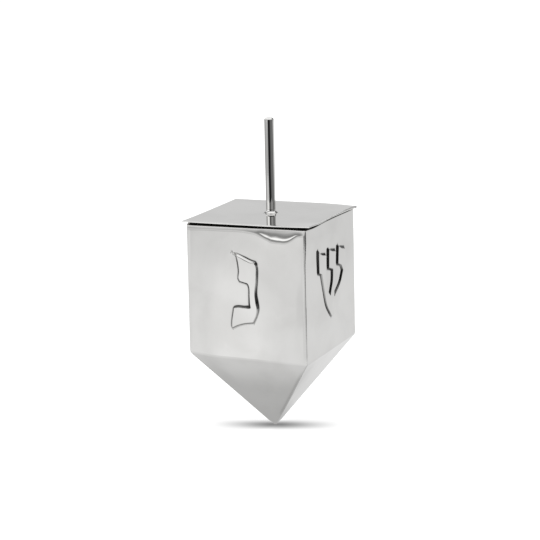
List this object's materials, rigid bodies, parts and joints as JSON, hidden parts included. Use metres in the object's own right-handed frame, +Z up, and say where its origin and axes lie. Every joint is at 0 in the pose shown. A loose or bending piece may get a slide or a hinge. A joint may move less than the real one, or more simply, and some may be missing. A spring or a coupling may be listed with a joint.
{
  "type": "dreidel",
  "caption": "Polished sheet-metal dreidel: hollow square case with a pyramid point and a raised game mark on each wall, closed by a lift-off lid that carries the spinning stem.",
  "frame": {"origin": "lowest point of the rounded tip, on the spin axis", "axes": "+Z up along the spin axis, towards the stem's end; -Y is the front wall, with the nun; +X the wall with the shin; +Y the wall with the hei; -X the wall with the gimel"},
  "size_m": [0.0336, 0.0336, 0.079],
  "materials": {
    "polished_silver": "mirror polish with faint hammer and buffing waves",
    "brushed_silver": "satin",
    "solder": "dull, as it ran"
  },
  "bodies": {
    "case": {"panel_nun": "polished_silver", "panel_shin": "polished_silver", "panel_gimel": "polished_silver", "panel_hei": "polished_silver", "corner_solder": "solder", "tip_plug": "polished_silver"},
    "lid": {"lid_plate": "polished_silver", "lid_collar": "brushed_silver", "stem": "polished_silver", "stem_fillet": "polished_silver", "stem_washer": "brushed_silver"}
  },
  "joints": [
    {"name": "lid_lift", "type": "slide", "parent": "case", "child": "lid", "axis": [0, 0, 1], "range_m": [0, 0.03]}
  ]
}
